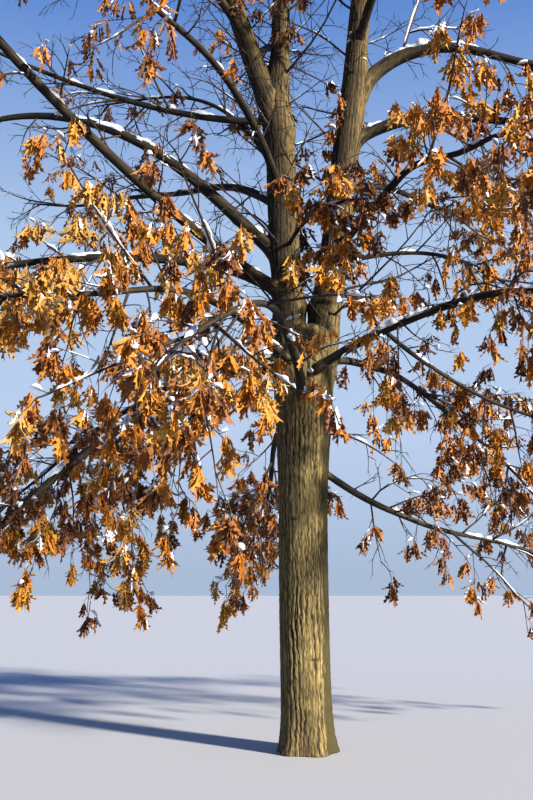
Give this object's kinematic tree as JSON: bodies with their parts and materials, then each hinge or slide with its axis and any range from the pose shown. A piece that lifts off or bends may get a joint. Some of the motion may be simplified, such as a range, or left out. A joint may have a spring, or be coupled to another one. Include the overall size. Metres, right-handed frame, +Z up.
{
  "type": "oak tree with withered winter leaves",
  "caption": "Oak rooted in the ground, forking low into leaders and spreading boughs, its lower crown full of withered orange-brown leaves, its top nearly bare, with snow on some boughs.",
  "frame": {"origin": "middle of the flat cut under the trunk, at ground level", "axes": "+Z up along the trunk, +X to the right of the front view, +Y away from the viewer"},
  "size_m": [11.4507, 9.8022, 14.411],
  "materials": {
    "bark": "rough grey-brown oak bark in long dark interlacing furrows",
    "bough_bark": "dull dark brown bark, furrowed finely at the root and smooth towards the tip",
    "leaves_orange": "dry orange leaves, matt",
    "leaves_rust": "dry rust-brown leaves, matt",
    "leaves_golden": "dry golden-brown leaves, matt",
    "leaves_brown": "dry dark brown leaves, matt",
    "snow": "fresh white snow, matt"
  },
  "bodies": {
    "root": {"trunk": "bark", "leader_left": "bark", "leader_left_outer": "bark", "leader_left_inner": "bark", "leader_right": "bark", "leader_right_upper": "bark", "bough_right_low": "bough_bark", "bough_front": "bough_bark", "bough_front_left": "bough_bark", "bough_left_droop": "bough_bark", "bough_back_left": "bough_bark", "bough_back": "bough_bark", "bough_back_right": "bough_bark", "bough_right_drop": "bough_bark", "bough_left_cross": "bough_bark", "bough_left_low": "bough_bark", "bough_left_high": "bough_bark", "bough_right_hook": "bough_bark", "bough_front_right": "bough_bark", "bough_right_mid": "bough_bark", "bough_front_upper": "bough_bark", "bough_back_upper": "bough_bark", "bough_right_back_upper": "bough_bark", "bough_arch_right": "bough_bark", "foliage_right_low": "leaves_orange", "foliage_front": "leaves_rust", "foliage_front_left": "leaves_golden", "foliage_left_droop": "leaves_brown", "foliage_back_left": "leaves_orange", "foliage_back": "leaves_rust", "foliage_back_right": "leaves_golden", "foliage_right_drop": "leaves_brown", "foliage_left_cross": "leaves_orange", "foliage_left_low": "leaves_rust", "foliage_left_high": "leaves_golden", "foliage_right_hook": "leaves_brown", "foliage_front_right": "leaves_orange", "foliage_right_mid": "leaves_rust", "foliage_front_upper": "leaves_golden", "foliage_back_upper": "leaves_brown", "foliage_right_back_upper": "leaves_orange", "foliage_arch_right": "leaves_rust", "foliage_top_left": "leaves_golden", "foliage_top_middle": "leaves_brown", "foliage_top_right": "leaves_orange", "foliage_inner_front": "leaves_rust", "foliage_right_small": "leaves_golden", "foliage_left_thin": "leaves_brown", "foliage_left_top": "leaves_orange", "foliage_crown_front": "leaves_rust", "foliage_crown_back": "leaves_golden", "foliage_crown_front_left": "leaves_brown", "foliage_crown_back_left": "leaves_orange", "foliage_crown_back_right": "leaves_rust", "foliage_crown_right": "leaves_golden", "foliage_crown_left": "leaves_brown", "snow_arch_right": "snow", "snow_right_low": "snow", "snow_left_high": "snow"}
  },
  "joints": []
}
